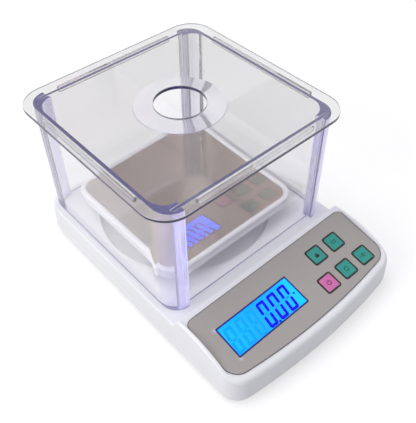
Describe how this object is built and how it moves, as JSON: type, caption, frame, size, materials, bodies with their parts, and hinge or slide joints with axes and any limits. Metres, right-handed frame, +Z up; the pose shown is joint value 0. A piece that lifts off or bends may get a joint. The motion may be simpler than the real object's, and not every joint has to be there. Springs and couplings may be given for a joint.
{
  "type": "digital lab balance",
  "caption": "Compact laboratory balance: white base with a sloped panel, display and keys, a square steel pan, and a clear draft shield with a loose lid.",
  "frame": {"origin": "middle of the footprint, on the surface that the four feet stand on", "axes": "+Z up, +Y from the control panel at the front to the rear, +X to the right of a person at the panel"},
  "size_m": [0.1808, 0.2538, 0.1399],
  "materials": {
    "white_plastic": "satin moulded",
    "clear_plastic": "clear moulded polystyrene with violet edges",
    "window_film": "clear gloss film",
    "panel_film": "fine matt film",
    "teal_key": "satin film",
    "pink_key": "satin film",
    "pan_steel": "brushed",
    "zinc_steel": "zinc plated",
    "bar_aluminium": "machined",
    "foot_rubber": "matt",
    "black_plastic": "matt moulded",
    "board_green": "solder mask",
    "display_blue": "lit liquid crystal",
    "guide_plastic": "polished",
    "cell_sleeve": "printed sleeve",
    "lead_sheath": "satin"
  },
  "bodies": {
    "base": {"upper_housing": "white_plastic", "lower_housing": "white_plastic", "foot_rear_left": "foot_rubber", "foot_rear_right": "foot_rubber", "foot_front_left": "foot_rubber", "foot_front_right": "foot_rubber", "housing_screw_1": "zinc_steel", "housing_screw_2": "zinc_steel", "housing_screw_3": "zinc_steel", "housing_screw_4": "zinc_steel", "housing_screw_5": "zinc_steel", "housing_screw_6": "zinc_steel", "load_cell": "bar_aluminium", "load_cell_screw_1": "zinc_steel", "load_cell_screw_2": "zinc_steel", "overload_stop": "zinc_steel", "panel_overlay": "panel_film", "display_window": "window_film", "main_board": "board_green", "board_screw_1": "zinc_steel", "board_screw_2": "zinc_steel", "board_screw_3": "zinc_steel", "board_screw_4": "zinc_steel", "switch_hold": "black_plastic", "switch_count": "black_plastic", "switch_power": "black_plastic", "switch_mode": "black_plastic", "switch_tare": "black_plastic", "controller_chip": "black_plastic", "display_glass": "display_blue", "display_light_guide": "guide_plastic", "display_connector": "foot_rubber", "display_frame": "black_plastic", "battery_cell_inner": "cell_sleeve", "battery_cell_outer": "cell_sleeve", "contact_bridge": "zinc_steel", "contact_negative": "zinc_steel", "contact_positive": "zinc_steel", "load_cell_lead": "lead_sheath", "battery_lead": "lead_sheath"},
    "platform": {"platform_support": "white_plastic", "platform_screw_1": "zinc_steel", "platform_screw_2": "zinc_steel"},
    "pan": {"pan_frame": "white_plastic", "pan_plate": "pan_steel"},
    "draft_shield": {"shield_shell_left": "clear_plastic", "shield_shell_right": "clear_plastic", "shield_pane_front": "clear_plastic", "shield_pane_rear": "clear_plastic"},
    "lid_body": {"lid": "clear_plastic"},
    "hold_button": {"key_hold": "teal_key"},
    "count_button": {"key_count": "teal_key"},
    "power_button": {"key_power": "pink_key"},
    "mode_button": {"key_mode": "teal_key"},
    "tare_button": {"key_tare": "teal_key"},
    "door": {"battery_door": "white_plastic"}
  },
  "joints": [
    {"name": "cell_flexure", "type": "slide", "parent": "base", "child": "platform", "axis": [0, 0, 1], "range_m": [-0.00025, 0], "stiffness_N_per_m": 23500, "springref_m": 0.0001},
    {"name": "pan_lift", "type": "slide", "parent": "platform", "child": "pan", "axis": [0, 0, 1], "range_m": [0, 0.06]},
    {"name": "shield_lift", "type": "slide", "parent": "base", "child": "draft_shield", "axis": [0, 0, 1], "range_m": [0, 0.12]},
    {"name": "lid_lift", "type": "slide", "parent": "draft_shield", "child": "lid_body", "axis": [0, 0, 1], "range_m": [0, 0.08]},
    {"name": "hold_press", "type": "slide", "parent": "base", "child": "hold_button", "axis": [0, 0.1994, -0.9799], "range_m": [0, 0.0004], "stiffness_N_per_m": 600, "springref_m": -0.0003},
    {"name": "count_press", "type": "slide", "parent": "base", "child": "count_button", "axis": [0, 0.1994, -0.9799], "range_m": [0, 0.0004], "stiffness_N_per_m": 600, "springref_m": -0.0003},
    {"name": "power_press", "type": "slide", "parent": "base", "child": "power_button", "axis": [0, 0.1994, -0.9799], "range_m": [0, 0.0004], "stiffness_N_per_m": 600, "springref_m": -0.0003},
    {"name": "mode_press", "type": "slide", "parent": "base", "child": "mode_button", "axis": [0, 0.1994, -0.9799], "range_m": [0, 0.0004], "stiffness_N_per_m": 600, "springref_m": -0.0003},
    {"name": "tare_press", "type": "slide", "parent": "base", "child": "tare_button", "axis": [0, 0.1994, -0.9799], "range_m": [0, 0.0004], "stiffness_N_per_m": 600, "springref_m": -0.0003},
    {"name": "door_swing", "type": "hinge", "parent": "base", "child": "door", "pos_m": [0.0633, 0.0365, 0.004], "axis": [0, -1, 0], "range_deg": [0, 70]}
  ]
}
